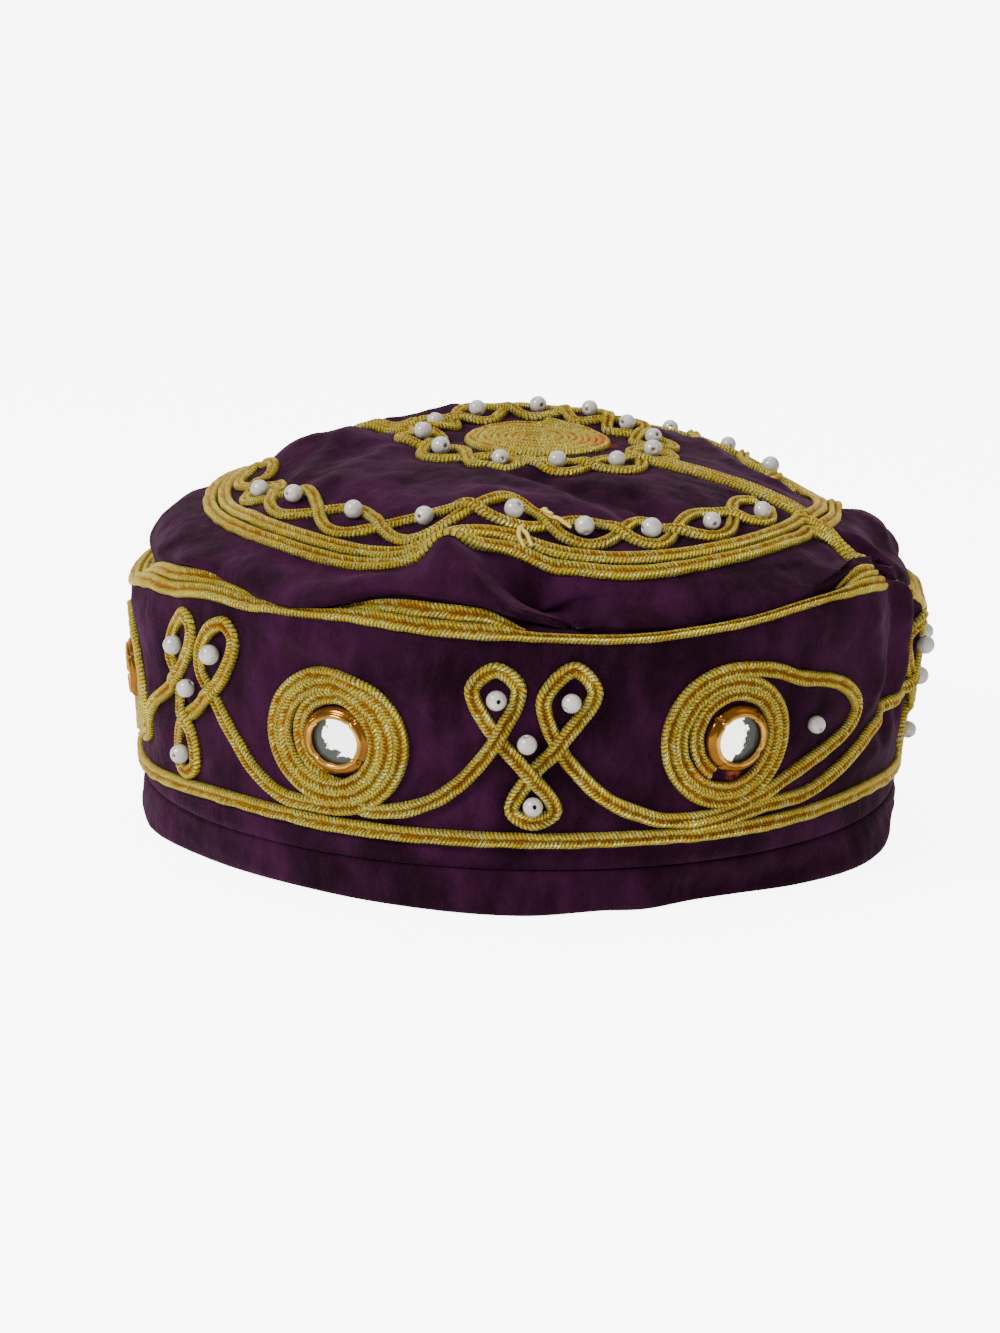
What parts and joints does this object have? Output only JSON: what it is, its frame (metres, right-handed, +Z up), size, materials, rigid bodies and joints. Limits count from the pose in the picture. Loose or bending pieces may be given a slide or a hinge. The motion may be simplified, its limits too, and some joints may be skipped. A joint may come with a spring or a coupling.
{
  "type": "kufi cap",
  "caption": "Round purple velvet kufi cap with gold braid scrolls, spirals, mirror eyelets and pearls on its side and a braided medallion on its crown",
  "frame": {"origin": "Middle of the overall box at the level of the rim, where the cap rests", "axes": "+Z is up out of the crown, the cap is worn rim down, and its front (the side seen in the picture) faces -Y"},
  "size_m": [0.1954, 0.195, 0.0951],
  "materials": {
    "velvet": "matt pile",
    "gold_braid": "satin metallic thread",
    "ring_gold": "polished",
    "mirror": "mirror",
    "pearl": "gloss"
  },
  "bodies": {
    "root": {"hem_band": "velvet", "side_band": "velvet", "crown": "velvet", "lower_border_braid": "gold_braid", "top_trim_braids": "gold_braid", "crown_border_braids": "gold_braid", "wave_braid_front": "gold_braid", "wave_braid_back": "gold_braid", "medallion_coil": "gold_braid", "medallion_loops": "gold_braid", "scroll_braid_1": "gold_braid", "scroll_braid_2": "gold_braid", "scroll_braid_3": "gold_braid", "scroll_braid_4": "gold_braid", "scroll_braid_5": "gold_braid", "scroll_braid_6": "gold_braid", "lobe_braid": "gold_braid", "spiral_coil_1": "gold_braid", "spiral_coil_2": "gold_braid", "spiral_coil_3": "gold_braid", "spiral_coil_4": "gold_braid", "spiral_coil_5": "gold_braid", "spiral_coil_6": "gold_braid", "mirror_ring_1": "ring_gold", "mirror_ring_2": "ring_gold", "mirror_ring_3": "ring_gold", "mirror_ring_4": "ring_gold", "mirror_ring_5": "ring_gold", "mirror_ring_6": "ring_gold", "mirror_1": "mirror", "mirror_2": "mirror", "mirror_3": "mirror", "mirror_4": "mirror", "mirror_5": "mirror", "mirror_6": "mirror", "band_pearl_01": "pearl", "band_pearl_02": "pearl", "band_pearl_03": "pearl", "band_pearl_04": "pearl", "band_pearl_05": "pearl", "band_pearl_06": "pearl", "band_pearl_07": "pearl", "band_pearl_08": "pearl", "band_pearl_09": "pearl", "band_pearl_10": "pearl", "band_pearl_11": "pearl", "band_pearl_12": "pearl", "band_pearl_13": "pearl", "band_pearl_14": "pearl", "band_pearl_15": "pearl", "band_pearl_16": "pearl", "band_pearl_17": "pearl", "band_pearl_18": "pearl", "band_pearl_19": "pearl", "band_pearl_20": "pearl", "band_pearl_21": "pearl", "band_pearl_22": "pearl", "band_pearl_23": "pearl", "band_pearl_24": "pearl", "band_pearl_25": "pearl"}
  },
  "joints": []
}
